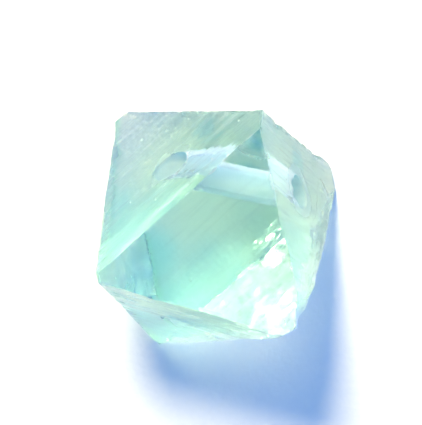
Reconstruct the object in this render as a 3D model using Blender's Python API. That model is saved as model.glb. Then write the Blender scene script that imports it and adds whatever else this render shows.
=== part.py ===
"""Drilled fluorite octahedron: one natural crystal, cleaved to eight faces and drilled across a corner.

Metres, +Z up. The crystal lies on one of its faces, with the origin on the ground under the middle of
its box. +X is to the right and +Y to the back. Its three upper corners are the back, left and front
corners. Places below are in millimetres from the crystal's middle. Plan angles turn from +X towards
+Y, and a rise is the angle above the level. Both are in degrees.
"""
import math
import random

import bmesh
import bpy
from mathutils import Matrix, Vector

MM = 0.001

# Edge of the true octahedron nearest to this crystal, and its distance from middle to face
EDGE = 14.0
REACH = EDGE / math.sqrt(6)

# Each face: the plan angle and rise of the way it looks, and its distance from the middle in REACH.
# On a true octahedron the sides lie 60 degrees apart with a rise of 19.47 degrees.
FACES = {
    "top": (0.0, 90.0, 0.992),
    "rest": (0.0, -90.0, 0.973),
    "upper left": (132.3, 21.5, 0.929),
    "upper right": (13.0, 21.2, 0.985),
    "upper front": (-106.2, 20.5, 1.079),
    "lower back": (74.2, -18.5, 1.095),
    "lower left": (-166.8, -17.6, 1.000),
    "lower right": (-48.2, -17.2, 0.947),
}

# Flat breaks that blunt the corners: the way each looks and its distance from the middle
BREAKS = [
    ("front corner, right side", -3, 22, 6.60),
    ("front corner, front side", -63, 10, 7.76),
    ("front corner, tip", -30, 35, 8.58),
    ("left corner", -165, 30, 9.36),
    ("back left corner, back side", 112, -40, 9.46),
    ("back left corner, left side", 158, -38, 9.36),
    ("right corner", 12, -34, 9.35),
    ("back corner", 74, 24, 9.42),
    ("front foot", -110, -32, 9.55),
]

# Width of the narrow worn strip along every edge
EDGE_WEAR = 0.06

# Ledges left by the cleaving: the face, the neighbour whose edge the ledge runs along, how far from
# that edge it starts and ends, where it starts and ends along the edge, and how deep it is
LEDGES = [
    ("upper front", "top", 2.0, 12.0, -9.0, 0.6, 0.07),
    ("upper front", "top", 3.3, 12.0, -9.0, 3.0, 0.13),
    ("upper front", "top", 4.5, 12.0, -9.0, 3.9, 0.18),
    ("upper left", "top", -1.0, 0.8, -9.0, -2.0, 0.08),
    ("upper left", "top", 6.4, 12.0, -4.0, 6.0, 0.08),
    ("upper left", "lower left", -1.0, 0.9, -2.5, 4.2, 0.08),
    ("upper right", "lower back", -1.0, 0.9, -3.6, 1.4, 0.10),
    ("upper right", "lower right", -1.0, 0.8, -1.0, 3.8, 0.12),
    ("lower back", "rest", -1.0, 1.8, -4.2, 2.4, 0.12),
    ("lower back", "upper right", -1.0, 1.0, -2.5, 3.0, 0.10),
    ("lower left", "upper front", -1.0, 1.6, -4.0, 1.1, 0.12),
    ("lower left", "rest", -1.0, 2.3, -9.0, 1.0, 0.22),
    ("lower right", "upper right", -1.0, 1.9, -1.5, 5.0, 0.14),
    ("lower right", "rest", -1.0, 1.5, -9.0, 9.0, 0.38),
    ("top", "upper left", 5.6, 12.0, -7.0, 7.0, 0.08),
    ("rest", "lower left", -1.0, 1.3, -3.0, 2.0, 0.14),
]

# How far a ledge's front wanders and its points. Its ends run along the other two edges of the
# face, so they close in by LEDGE_TAPER for each millimetre away from the edge it lies beside.
LEDGE_WANDER = 0.16
LEDGE_POINTS = 9
LEDGE_TAPER = 1 / math.tan(math.radians(60))

# How far a ledge's cutter reaches above the face
LEDGE_CLEAR = 1.0

# Scoops chipped out of the edges: the two faces, the place along the edge, radius and depth
EDGE_CHIPS = [
    ("upper right", "lower back", -3.9, 1.1, 0.20),
    ("upper right", "lower back", -1.2, 0.8, 0.10),
    ("upper right", "lower back", 1.1, 0.9, 0.12),
    ("upper right", "lower back", 3.2, 0.7, 0.12),
    ("upper right", "top", 3.6, 0.8, 0.08),
    ("upper front", "top", 2.8, 0.9, 0.10),
    ("upper front", "lower right", 2.6, 0.9, 0.14),
    ("upper left", "lower back", 1.9, 1.0, 0.09),
    ("upper left", "lower left", -3.1, 1.0, 0.12),
    ("lower left", "rest", 2.4, 0.9, 0.12),
    ("lower right", "rest", -2.2, 1.0, 0.15),
    ("lower back", "rest", -1.6, 0.9, 0.12),
]

# Hollows broken out of the front corner: place of the ball that fits each, and its radius
CORNER_CHIPS = [
    ((6.55, -5.15, 5.00), 1.80),
    ((5.55, -7.10, 5.20), 1.55),
    ((6.90, -3.10, 4.55), 1.35),
    ((3.35, -6.95, 5.75), 0.95),
]

# The bead hole: its width, and the middles of its two mouths
HOLE_WIDTH = 2.0
HOLE_LEFT = Vector((-2.79, 4.03, 2.15))
HOLE_RIGHT = Vector((5.18, 2.33, 1.23))
HOLE_SIDES = 48

# Flakes broken from the mouths of the hole: which mouth, the turn about the hole, radius and depth
MOUTH_FLAKES = [
    ("left", 60, 0.60, 0.10),
    ("left", 200, 0.55, 0.08),
    ("left", 290, 0.50, 0.07),
    ("right", 235, 0.70, 0.16),
    ("right", 280, 0.80, 0.18),
    ("right", 325, 0.60, 0.10),
    ("right", 110, 0.45, 0.06),
]

# The body that everything is cut from, and the size of ball facets
BLOCK = 4 * EDGE
BALL_FINENESS = 3

# Sea-green stone that light passes through
STONE_COLOUR = (0.50, 0.86, 0.76, 1.0)
STONE_ROUGHNESS = 0.08
STONE_IOR = 1.434


def heading(plan, rise):
    """Gives the unit vector that looks this way."""
    plan = math.radians(plan)
    rise = math.radians(rise)
    level = math.cos(rise)
    return Vector((level * math.cos(plan), level * math.sin(plan), math.sin(rise)))


def face_normal(name):
    plan, rise, _ = FACES[name]
    return heading(plan, rise)


def face_distance(name):
    return FACES[name][2] * REACH


def cleave(body, normal, distance):
    """Removes what lies beyond a plane square to the normal, and closes the cut."""
    everything = body.verts[:] + body.edges[:] + body.faces[:]
    bmesh.ops.bisect_plane(body, geom=everything, dist=1e-6, plane_co=normal * distance,
                           plane_no=normal, clear_outer=True)
    rim = [edge for edge in body.edges if edge.is_boundary]
    if rim:
        bmesh.ops.holes_fill(body, edges=rim)


def cleaved_body():
    """Cleaves a block to the eight faces, breaks the corners and wears the edges."""
    body = bmesh.new()
    bmesh.ops.create_cube(body, size=BLOCK)
    for name in FACES:
        cleave(body, face_normal(name), face_distance(name))
    for _, plan, rise, distance in BREAKS:
        cleave(body, heading(plan, rise), distance)
    bmesh.ops.bevel(body, geom=body.edges[:], offset=EDGE_WEAR, offset_type="OFFSET", segments=1,
                    profile=0.5, affect="EDGES", clamp_overlap=True)
    return body


def edge_foot(face, beside):
    """Gives the point of the edge between two faces that is nearest the middle, and the edge's way."""
    normal = face_normal(face)
    other = face_normal(beside)
    lean = normal.dot(other)
    spread = 1 - lean * lean
    own = (face_distance(face) - lean * face_distance(beside)) / spread
    its = (face_distance(beside) - lean * face_distance(face)) / spread
    return normal * own + other * its, normal.cross(other).normalized()


def ledge(rng, face, beside, near, far, start, stop, depth):
    """Gives a flat-bottomed cutter whose fronts wander beside the edge of two faces."""
    foot, along = edge_foot(face, beside)
    normal = face_normal(face)
    inward = along.cross(normal)
    if inward.dot(foot) > 0:
        inward = -inward
    steps = [start + (stop - start) * i / (LEDGE_POINTS - 1) for i in range(LEDGE_POINTS)]
    near_side = [(s, near + rng.uniform(-LEDGE_WANDER, LEDGE_WANDER)) for s in steps]
    far_side = [(s, far + rng.uniform(-LEDGE_WANDER, LEDGE_WANDER)) for s in reversed(steps)]
    outline = near_side + far_side
    body = bmesh.new()
    floor = []
    roof = []
    centre = (start + stop) / 2
    for step, width in outline:
        taper = 1 - LEDGE_TAPER * max(width, 0) / max(stop - centre, width)
        place = foot + along * (centre + (step - centre) * taper) + inward * width
        floor.append(body.verts.new(place - normal * depth))
        roof.append(body.verts.new(place + normal * LEDGE_CLEAR))
    body.faces.new(floor)
    body.faces.new(roof[::-1])
    for i in range(len(outline)):
        j = (i + 1) % len(outline)
        body.faces.new((floor[j], floor[i], roof[i], roof[j]))
    return body


def ball(place, radius):
    body = bmesh.new()
    bmesh.ops.create_icosphere(body, subdivisions=BALL_FINENESS, radius=radius,
                               matrix=Matrix.Translation(place))
    return body


def edge_chip(face, beside, at, radius, depth):
    """Gives a ball that dips this deep into the edge between two faces."""
    foot, along = edge_foot(face, beside)
    outward = (face_normal(face) + face_normal(beside)).normalized()
    return ball(foot + along * at + outward * (radius - depth), radius)


def hole_way():
    return (HOLE_RIGHT - HOLE_LEFT).normalized()


def drilling():
    """Gives a long round rod on the line of the hole."""
    way = hole_way()
    middle = (HOLE_LEFT + HOLE_RIGHT) / 2
    turn = way.to_track_quat("Z", "Y").to_matrix().to_4x4()
    body = bmesh.new()
    bmesh.ops.create_cone(body, cap_ends=True, segments=HOLE_SIDES, radius1=HOLE_WIDTH / 2,
                          radius2=HOLE_WIDTH / 2, depth=1.5 * EDGE,
                          matrix=Matrix.Translation(middle) @ turn)
    return body


def mouth_flake(mouth, turn, radius, depth):
    """Gives a ball that dips into the rim of a mouth, at this turn about the hole."""
    way = hole_way()
    centre, face = (HOLE_LEFT, "upper left") if mouth == "left" else (HOLE_RIGHT, "upper right")
    normal = face_normal(face)
    side = way.cross(Vector((0, 0, 1))).normalized()
    spoke = Matrix.Rotation(math.radians(turn), 3, way) @ side
    spoke *= HOLE_WIDTH / 2
    rim = centre + spoke - way * (spoke.dot(normal) / way.dot(normal))
    return ball(rim + normal * (radius - depth), radius)


def stone():
    """Makes the stone's material: pale sea-green, clear, with fluorite's low refraction."""
    material = bpy.data.materials.new("fluorite")
    material.use_nodes = True
    shader = material.node_tree.nodes["Principled BSDF"]
    shader.inputs["Base Color"].default_value = STONE_COLOUR
    shader.inputs["Roughness"].default_value = STONE_ROUGHNESS
    shader.inputs["Metallic"].default_value = 0.0
    shader.inputs["IOR"].default_value = STONE_IOR
    shader.inputs["Transmission Weight"].default_value = 1.0
    return material


def add_object(name, body):
    """Turns a body in millimetres into an object in metres."""
    bmesh.ops.scale(body, vec=(MM, MM, MM), verts=body.verts)
    bmesh.ops.recalc_face_normals(body, faces=body.faces[:])
    mesh = bpy.data.meshes.new(name)
    body.to_mesh(mesh)
    body.free()
    obj = bpy.data.objects.new(name, mesh)
    bpy.context.scene.collection.objects.link(obj)
    return obj


def take_away(crystal, name, body):
    """Cuts a body out of the crystal."""
    cutter = add_object(name, body)
    cutter.hide_render = True
    cutter.display_type = "WIRE"
    cutter.parent = crystal
    cut = crystal.modifiers.new(name, "BOOLEAN")
    cut.operation = "DIFFERENCE"
    cut.solver = "EXACT"
    cut.object = cutter


def main():
    for obj in list(bpy.data.objects):
        bpy.data.objects.remove(obj)

    rng = random.Random(7)
    crystal = add_object("crystal", cleaved_body())
    crystal.data.materials.append(stone())
    for number, row in enumerate(LEDGES):
        take_away(crystal, f"ledge_{number}", ledge(rng, *row))
    for number, row in enumerate(EDGE_CHIPS):
        take_away(crystal, f"edge_chip_{number}", edge_chip(*row))
    for number, (place, radius) in enumerate(CORNER_CHIPS):
        take_away(crystal, f"corner_chip_{number}", ball(Vector(place), radius))
    for number, row in enumerate(MOUTH_FLAKES):
        take_away(crystal, f"mouth_flake_{number}", mouth_flake(*row))
    take_away(crystal, "drilling", drilling())

    # The middle of the box goes over the origin, and the rest face on the ground
    corners = [Vector(corner) for corner in crystal.bound_box]
    crystal.location.x = -(corners[0].x + corners[6].x) / 2
    crystal.location.y = -(corners[0].y + corners[6].y) / 2
    crystal.location.z = face_distance("rest") * MM


main()
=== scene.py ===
import math
import random

import bmesh
import bpy
import numpy as np
from mathutils import Matrix, Vector


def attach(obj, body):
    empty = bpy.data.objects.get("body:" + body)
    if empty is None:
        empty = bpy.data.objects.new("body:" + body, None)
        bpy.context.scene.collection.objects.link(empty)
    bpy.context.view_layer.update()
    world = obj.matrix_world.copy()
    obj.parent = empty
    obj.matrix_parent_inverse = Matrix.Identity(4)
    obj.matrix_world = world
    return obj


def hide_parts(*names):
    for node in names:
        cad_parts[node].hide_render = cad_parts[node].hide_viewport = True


# Looks of a drilled fluorite octahedron. Lengths are in millimetres from the crystal's middle, plan
# angles turn from +X towards +Y, and a rise is the angle above the level, both in degrees. A face's
# surface is a height over its flat plane, below it where the stone is worn, stepped or chipped. On a
# face, x is the place along one of its edges and y the distance from that edge into the face. Seeds
# only keep the noises apart.

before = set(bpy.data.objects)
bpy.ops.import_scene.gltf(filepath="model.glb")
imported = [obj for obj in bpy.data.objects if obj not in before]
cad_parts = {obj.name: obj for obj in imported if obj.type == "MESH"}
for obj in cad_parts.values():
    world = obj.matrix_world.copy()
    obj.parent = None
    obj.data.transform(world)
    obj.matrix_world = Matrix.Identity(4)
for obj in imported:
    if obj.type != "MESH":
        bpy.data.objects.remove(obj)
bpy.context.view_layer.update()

MM = 0.001

# Edge of the true octahedron nearest to this crystal, and its distance from middle to face
EDGE = 14.0
REACH = EDGE / math.sqrt(6)

# Each face: the plan angle and rise of the way it looks, and its distance from the middle in REACH
FACES = {
    "top": (0.0, 90.0, 0.992),
    "rest": (0.0, -90.0, 0.973),
    "upper left": (132.3, 21.5, 0.929),
    "upper right": (13.0, 21.2, 0.985),
    "upper front": (-106.2, 20.5, 1.079),
    "lower back": (74.2, -18.5, 1.095),
    "lower left": (-166.8, -17.6, 1.000),
    "lower right": (-48.2, -17.2, 0.947),
}
FACE_ORDER = list(FACES)

# The faces that are seen only through the stone, apart from the torn lower right one
HIDDEN = ("rest", "lower left", "lower back")

# Place of the crystal's middle over the ground, sideways from the middle of its box
MIDDLE = np.array((-0.182, 0.126, REACH * FACES["rest"][2]))

# Two corners, by the faces that meet there
FRONT_CORNER = ("top", "upper right", "upper front")
LEFT_BACK_CORNER = ("upper left", "lower back", "lower left")

# Flat breaks that blunt the corners: the three faces that meet there, the way the break looks, its
# distance from the middle, and how far it reaches sideways
BREAKS = [
    (FRONT_CORNER, -3, 22, 6.60, 5.5),
    (FRONT_CORNER, -63, 10, 7.76, 4.5),
    (FRONT_CORNER, -30, 35, 8.58, 3.0),
    (("top", "upper left", "upper front"), -165, 30, 9.36, 2.5),
    (LEFT_BACK_CORNER, 112, -40, 9.90, 2.5),
    (LEFT_BACK_CORNER, 158, -38, 9.80, 2.5),
    (("upper right", "lower back", "lower right"), 12, -34, 9.62, 2.5),
    (("top", "upper left", "upper right"), 74, 24, 9.24, 2.5),
    (("upper front", "lower left", "lower right"), -110, -32, 9.84, 2.5),
]

# The breaks' surface: how many of them, from the first, are rippled in full, and how strong the rest
# are; where on the sheet the ripples spread from, their height, closeness and reach; and the height
# and size of the lumps between them
RIPPLED_BREAKS = 3
QUIET_BREAK = 0.25
RIPPLE_START = (1.3, -2.1)
RIPPLE_HEIGHT = 0.012
RIPPLE_CLOSE = 9
RIPPLE_REACH = 5
BREAK_LUMP_HEIGHT = 0.02
BREAK_LUMP_SIZE = 0.7

# A way that no break looks, which turns its sheet, and how far the lid lies above that sheet
BREAK_TURN = (0.3, 0.2, 1.0)
BREAK_LID = 3.5

# Ledges left by the cleaving: the face, the neighbour whose edge the ledge runs along, how far from
# that edge it starts and ends, where it starts and ends along the edge, and how deep it is
LEDGES = [
    ("upper front", "top", 2.0, 12.0, -9.0, 0.6, 0.05),
    ("upper front", "top", 3.3, 12.0, -9.0, 3.0, 0.13),
    ("upper front", "top", 4.5, 12.0, -9.0, 3.9, 0.18),
    ("upper left", "top", 6.4, 12.0, -4.0, 6.0, 0.08),
    ("upper left", "lower left", -1.0, 0.9, -2.5, 4.2, 0.04),
    ("upper right", "lower back", -1.0, 0.9, -3.6, 1.4, 0.10),
    ("lower back", "rest", -1.0, 1.8, -4.2, 2.4, 0.12),
    ("lower back", "upper right", -1.0, 1.0, -2.5, 3.0, 0.10),
    ("lower left", "upper front", -1.0, 1.6, -4.0, 1.1, 0.12),
    ("lower left", "rest", -1.0, 2.3, -9.0, 1.0, 0.22),
    ("lower right", "upper right", -1.0, 1.9, -1.5, 5.0, 0.08),
    ("lower right", "rest", -1.0, 1.5, -9.0, 9.0, 0.38),
    ("top", "upper left", 5.6, 12.0, -7.0, 7.0, 0.08),
]

# How far a ledge's fronts wander, at how many points, and their seed; how far they draw in for each
# step away from the edge; the depth and the size of the nicks in them; the width of the ledge's wall;
# and how far outside it the slope down to it starts, on each face that has such a slope
LEDGE_WANDER = 0.16
LEDGE_POINTS = 9
LEDGE_SEED = 7
LEDGE_TAPER = 1 / math.tan(math.radians(60))
LEDGE_NICK = 0.05
LEDGE_NICK_SIZE = (0.3, 2)
LEDGE_WALL = 0.10
LEDGE_SKIRT = {"lower back": 3.5, "lower left": 4.5, "lower right": 4.5,
               "upper left": 0.5, "upper front": 0.3}

# Keeps a length that divides from reaching 0
TINY = 0.01

# Scoops chipped out of the edges: the two faces, the place along the edge, radius and depth
EDGE_CHIPS = [
    ("upper right", "lower back", -3.9, 1.1, 0.20),
    ("upper right", "lower back", -1.2, 0.8, 0.10),
    ("upper right", "lower back", 1.1, 0.9, 0.12),
    ("upper right", "lower back", 3.2, 0.7, 0.30),
    ("upper right", "top", 3.6, 0.8, 0.08),
    ("upper front", "top", 2.8, 0.9, 0.10),
    ("upper front", "lower right", 2.6, 0.9, 0.14),
    ("upper left", "lower back", 1.9, 1.0, 0.05),
    ("upper left", "lower left", -3.1, 1.0, 0.06),
    ("lower right", "rest", -2.2, 1.0, 0.15),
    ("lower back", "rest", -1.6, 0.9, 0.12),
]

# Hollows broken out of the front corner: place of the ball that fits each, and its radius
CORNER_CHIPS = [
    ((6.55, -5.15, 5.00), 1.80),
    ((5.55, -7.10, 5.20), 1.55),
    ((6.90, -3.10, 4.55), 1.35),
    ((3.35, -6.95, 5.75), 0.95),
]

# The balls that fit the chips: points around and rows between the poles, the height of their waves
# and how many there are in a turn, and the height of their noise, both heights in radii
CHIP_AROUND = 56
CHIP_ROWS = 28
CHIP_WAVE = 0.008
CHIP_WAVES = 24
CHIP_NOISE = 0.02

# Steps split off the underside beside the lower right face: how far from that edge the wall's foot
# is, the wall's height, and how far it leans from upright
UNDER_STEPS = [
    (1.02, 0.13, 21),
    (0.84, 0.24, 25),
    (0.66, 0.35, 22),
    (0.46, 0.47, 25),
]

# Where along the edge the steps start and end, at how many points, how fast their walls draw away
# from it, how far and how closely the walls wander, the steady part of their height with the part and
# the size of its noise, where they start to grow and how slowly, how far the cut reaches beyond the
# edge, and how far below the stone it starts
STEP_START = 0.4
STEP_END = -5.6
STEP_POINTS = 110
STEP_TURN = 0.14
STEP_WANDER = (0.035, 0.4)
STEP_UNEVEN = (0.8, 0.3, 0.6)
STEP_GROWS = -0.2
STEP_GROWTH = 1.2
STEP_REACH = 1.2
STEP_SPARE = 0.3

# The bead hole: its width, and the middles of its two mouths
HOLE_WIDTH = 2.0
HOLE_LEFT = np.array((-2.79, 4.03, 2.15))
HOLE_RIGHT = np.array((5.18, 2.33, 1.23))

# Flakes broken from the hole's right mouth: the turn about the hole, radius and depth
MOUTH_FLAKES = [
    (235, 0.70, 0.08),
    (280, 0.80, 0.08),
    (325, 0.60, 0.05),
    (110, 0.45, 0.03),
]

# The drilled wall: points around and along it, half its length, then the height and the length along
# the hole of its fine rings, its slow waves and its grit marks, and the points around one mark
DRILL_AROUND = 72
DRILL_ALONG = 150
DRILL_REACH = 0.95 * EDGE / 2
DRILL_RINGS = (0.004, 0.16)
DRILL_WAVES = (0.012, 0.9)
DRILL_MARKS = (0.004, 0.22)
DRILL_MARK_POINTS = 3

# The fine surface of each face: the neighbour whose edge its streaks follow, how deep the streaks
# and the broad swell are, how high and how close its terraces are, and how strongly its rim is worn
GRAIN = {
    "top": ("upper left", 0.0025, 0.006, 0.010, 1.0, 0.45),
    "rest": ("lower right", 0.004, 0.006, 0.008, 1.0, 0.0),
    "upper left": ("top", 0.014, 0.014, 0.030, 3.0, 0.5),
    "upper right": ("lower back", 0.018, 0.014, 0.026, 2.4, 1.3),
    "upper front": ("top", 0.020, 0.014, 0.026, 3.6, 0.8),
    "lower back": ("rest", 0.006, 0.012, 0.008, 1.5, 0.1),
    "lower left": ("rest", 0.004, 0.012, 0.005, 1.5, 0.05),
    "lower right": ("rest", 0.007, 0.012, 0.030, 2.0, 0.3),
}
STREAK_WIDTH = 0.34
STREAK_LENGTH = 3.2
SWELL_WIDTH = 2.6
TERRACE_LENGTH = 7.0
TERRACE_WIDTH = 1.1

# Where on a terrace's tread the riser to the next starts, and its width, both in treads
RISER = (0.40, 0.20)

# Rim wear: the width and depth of the worn strip, its least bite, and the parts of its width that
# stay and that grow with the bite
WEAR_WIDTH = 0.34
WEAR_DEPTH = 0.055
WEAR_BITE = 0.35
WEAR_SPREAD = (0.6, 0.7)

# Patches of streaks, of torn lumps and of wear: their size along and across, and the level and swing
# of their noise
STREAK_PATCH = (2.2, 1.6, 0.6, 0.8)
HACKLE_PATCH = (2.5, 5, 0.75, 0.6)
WEAR_PATCH = (0.9, 0.9, 0.5, 0.7)

# How far a face swells outwards towards an edge of the outline, at the edge's start and at its end,
# how wide that swelling is, and half the length between those two places
RIM_LIFT = {
    ("lower back", "upper right"): (0.06, 0.34),
    ("lower back", "upper left"): (0.10, 0.02),
    ("lower right", "upper right"): (0.46, 0.02),
    ("lower right", "upper front"): (0.06, 0.34),
    ("lower left", "upper left"): (0.00, 0.12),
    ("lower left", "upper front"): (0.24, 0.0),
}
LIFT_WIDTH = 2.0
LIFT_SPAN = 5.0

# The left back corner's own swelling: the face, the corner, how high and how wide
CORNER_SWELL = ("upper left", LEFT_BACK_CORNER, 0.32, 1.3)

# How far the resting face's slight hollows lie over the ground
REST_GAP = 0.03

# Where cleaving tore the surface into lumps: the face, how deep they are, and their size along the
# rest edge and up the face
HACKLE = {
    "lower right": (0.08, 0.8, 1.9),
}

# The lattice on each face, how far it reaches past the edges, how far above it the lid lies, and how
# much larger on each side the block is that the faces are cut from
LATTICE = 0.125
SHEET_MARGIN = 0.75
SHEET_LID = 1.4
BLANK_SPARE = 0.35

# Edges shorter than this, left where two cuts meet, are closed up
SLIVER = 0.004

# The skin is shaded smooth across edges that turn less than this
SMOOTH_TURN = 22

# The faces' maps of their streaks lie this far apart
GRAIN_SHIFT = 40

# Noise repeats after this many places, and each layer of it is shifted by this much
NOISE_PLACES = 64
LAYER_SHIFT = 7.3


def heading(plan, rise):
    """The unit vector with this plan angle and rise."""
    plan = math.radians(plan)
    rise = math.radians(rise)
    level = math.cos(rise)
    return np.array((level * math.cos(plan), level * math.sin(plan), math.sin(rise)))


def face_normal(name):
    plan, rise, _ = FACES[name]
    return heading(plan, rise)


def face_distance(name):
    return FACES[name][2] * REACH


# The three faces that share an edge with each: those that look less than a right angle away from it
BESIDE = {name: [other for other in FACES if other != name and face_normal(name) @ face_normal(other) > 0]
          for name in FACES}


def unit(vector):
    return vector / np.linalg.norm(vector)


def meeting(names):
    """The point where three planes meet, solved from normal . point = distance for each."""
    normals = np.array([face_normal(name) for name in names])
    distances = np.array([face_distance(name) for name in names])
    return np.linalg.solve(normals, distances)


def edge_frame(face, beside):
    """The point of two faces' shared edge nearest the middle, the edge's way, and the way into the face."""
    normal = face_normal(face)
    other = face_normal(beside)
    lean = normal @ other
    spread = 1 - lean * lean
    own = (face_distance(face) - lean * face_distance(beside)) / spread
    its = (face_distance(beside) - lean * face_distance(face)) / spread
    foot = normal * own + other * its
    along = unit(np.cross(normal, other))
    inward = np.cross(along, normal)
    if inward @ foot > 0:
        inward = -inward
    return foot, along, inward


def on_face(face, beside, points):
    """Each point's x along a face's edge, and its y from that edge into the face."""
    foot, along, inward = edge_frame(face, beside)
    return (points - foot) @ along, (points - foot) @ inward


def ease(x):
    """A smooth step from 0 to 1: 3 x squared - 2 x cubed, held level outside that range."""
    x = np.clip(x, 0, 1)
    return x * x * (3 - 2 * x)


def below(value, limit, width):
    """0 from the limit up, easing to 1 this width below it."""
    return ease((limit - value) / width)


def above(value, limit, width):
    """0 up to the limit, easing to 1 this width above it."""
    return ease((value - limit) / width)


def between(value, low, high):
    """1 between two limits and 0 outside them, each limit with the width over which it eases."""
    return above(value, *low) * below(value, *high)


def noise(x, y, seed):
    """Random heights from -1 to 1 on a square lattice of points, joined by smooth steps."""
    table = np.random.default_rng(seed).uniform(-1, 1, (NOISE_PLACES, NOISE_PLACES))
    left = np.floor(x).astype(int)
    low = np.floor(y).astype(int)
    u = ease(x - left)
    v = ease(y - low)
    left, right = left % NOISE_PLACES, (left + 1) % NOISE_PLACES
    low, high = low % NOISE_PLACES, (low + 1) % NOISE_PLACES
    near = table[left, low] * (1 - u) + table[right, low] * u
    far = table[left, high] * (1 - u) + table[right, high] * u
    return near * (1 - v) + far * v


def layered(x, y, seed, layers=3):
    """Noise plus half as much at twice the fineness, and so on for each layer."""
    total = 0
    for layer in range(layers):
        finer = 2 ** layer
        total = total + noise(x * finer + LAYER_SHIFT * layer, y * finer, seed + layer) / finer
    return total


def patches(x, y, look, seed, layers=1):
    """Soft patches from 0 to 1: the ease of level + swing . noise, stretched to their size."""
    wide, high, level, swing = look
    return ease(level + swing * layered(x / wide, y / high, seed, layers))


def terraces(level):
    """Flat treads one apart with short smooth risers: whole part of level, plus a steep step."""
    whole = np.floor(level)
    return whole + above(level - whole, *RISER)


def ledge_outlines():
    """Each ledge with its two wandering fronts, drawn in the order of the list."""
    rng = random.Random(LEDGE_SEED)
    rows = []
    for face, beside, near, far, start, stop, depth in LEDGES:
        near_side = [near + rng.uniform(-LEDGE_WANDER, LEDGE_WANDER) for _ in range(LEDGE_POINTS)]
        far_side = [far + rng.uniform(-LEDGE_WANDER, LEDGE_WANDER) for _ in range(LEDGE_POINTS)]
        rows.append((face, beside, near_side, far_side[::-1], start, stop, depth))
    return rows


LEDGE_ROWS = ledge_outlines()


def ledge_depth(points, row, seed):
    """How deep a ledge goes at each point: its depth inside its outline, easing to 0 over its wall.

    The outline draws in towards the ledge's middle as y grows, because the face narrows that way.
    """
    face, beside, near_side, far_side, start, stop, depth = row
    x, y = on_face(face, beside, points)
    centre = (start + stop) / 2
    half = np.maximum(stop - centre, np.maximum(y, TINY))
    taper = np.maximum(1 - LEDGE_TAPER * np.maximum(y, 0) / half, TINY)
    step = centre + (x - centre) / taper
    steps = np.linspace(start, stop, LEDGE_POINTS)
    wide, high = LEDGE_NICK_SIZE
    ragged = LEDGE_NICK * noise(x / wide, y / high, seed)
    inside = np.minimum(y - np.interp(step, steps, near_side), np.interp(step, steps, far_side) - y)
    inside = np.minimum(inside, np.minimum(step - start, stop - step) * taper)
    skirt = LEDGE_SKIRT.get(face, 0)
    return depth * ease((inside + ragged + skirt) / (LEDGE_WALL + skirt))


def edge_swell(face, beside, x):
    """How far the edge's side of a face swells outwards: from one lift to the other, evenly with x."""
    return np.interp(x, (-LIFT_SPAN, LIFT_SPAN), RIM_LIFT.get((face, beside), (0, 0)))


def face_swell(name, points):
    """The swelling of a face at each point: that of each of its edges, easing to 0 away from the edge.

    The left back corner's own is high times e to the minus square of the distance over wide.
    """
    total = 0
    for beside in BESIDE[name]:
        x, y = on_face(name, beside, points)
        total = total + edge_swell(name, beside, x) * ease(1 - np.maximum(y, 0) / LIFT_WIDTH)
    face, corner, high, wide = CORNER_SWELL
    if name == face:
        away = np.linalg.norm(points - meeting(corner), axis=1)
        total = total + high * np.exp(-(away / wide) ** 2)
    return total


def face_depths(points):
    """How far each point lies under each face, swelling included: distance + swelling - normal . point."""
    return np.column_stack([face_distance(name) + face_swell(name, points) - points @ face_normal(name)
                            for name in FACES])


def rim_wear(name, beside, points, deep, seed):
    """How far a face is worn beside an edge: deep . bite . the square of how near the edge is.

    Nearness is 1 - y / width, y being measured from where the swellings move the edge to. The bite is
    patchy, and the strip is wider where it is strong.
    """
    lean = face_normal(name) @ face_normal(beside)
    x, y = on_face(name, beside, points)
    moved = edge_swell(name, beside, x) * lean - edge_swell(beside, name, -x)
    y = np.maximum(y - moved / math.sqrt(1 - lean * lean), 0)
    bite = WEAR_BITE + patches(x, y, WEAR_PATCH, seed, layers=2)
    steady, growing = WEAR_SPREAD
    width = WEAR_WIDTH * (steady + growing * bite)
    return deep * bite * np.clip(1 - y / width, 0, 1) ** 2


def face_height(name, points):
    """Height over a face's plane: its swelling, less waves, streaks, terraces, ledges, lumps and wear.

    Streaks are noise stretched along one edge. Torn lumps are the size of layered noise, whatever its
    sign. The resting face is kept above the ground everywhere.
    """
    seed = 100 * FACE_ORDER.index(name)
    follow, streak, swell, rise, close, rim = GRAIN[name]
    x, y = on_face(name, follow, points)
    height = -swell * layered(x / SWELL_WIDTH, y / SWELL_WIDTH, seed + 1, 2) / 2
    lines = layered(x / STREAK_LENGTH, y / STREAK_WIDTH, seed + 5, 2)
    height = height - streak * lines * patches(x, y, STREAK_PATCH, seed + 9)
    level = close * layered(x / TERRACE_LENGTH, y / TERRACE_WIDTH, seed + 13, 3)
    height = height - rise * terraces(level) / 2
    depth = np.zeros(len(points))
    for number, row in enumerate(LEDGE_ROWS):
        if row[0] == name:
            depth = np.maximum(depth, ledge_depth(points, row, 3 * number + 1))
    height = height - depth
    if name in HACKLE:
        lump, wide, high = HACKLE[name]
        torn = np.abs(layered(x / wide, y / high, seed + 40, 3))
        height = height - lump * patches(x, y, HACKLE_PATCH, seed + 43) * torn
    for number, beside in enumerate(BESIDE[name]):
        height = height - rim_wear(name, beside, points, rim * WEAR_DEPTH, seed + 20 + number)
    height = height + face_swell(name, points)
    if name == "rest":
        height = np.minimum(height - REST_GAP, -REST_GAP / 2)
    return height


def add_object(name, data):
    """Puts a mesh, a lamp or a camera into the scene."""
    obj = bpy.data.objects.new(name, data)
    bpy.context.scene.collection.objects.link(obj)
    return obj


def add_mesh(name, points, faces):
    """Puts points, in millimetres from the crystal's middle, and faces into an object in the frame."""
    mesh = bpy.data.meshes.new(name)
    mesh.from_pydata((points + MIDDLE) * MM, [], faces)
    mesh.update()
    return add_object(name, mesh)


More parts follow.
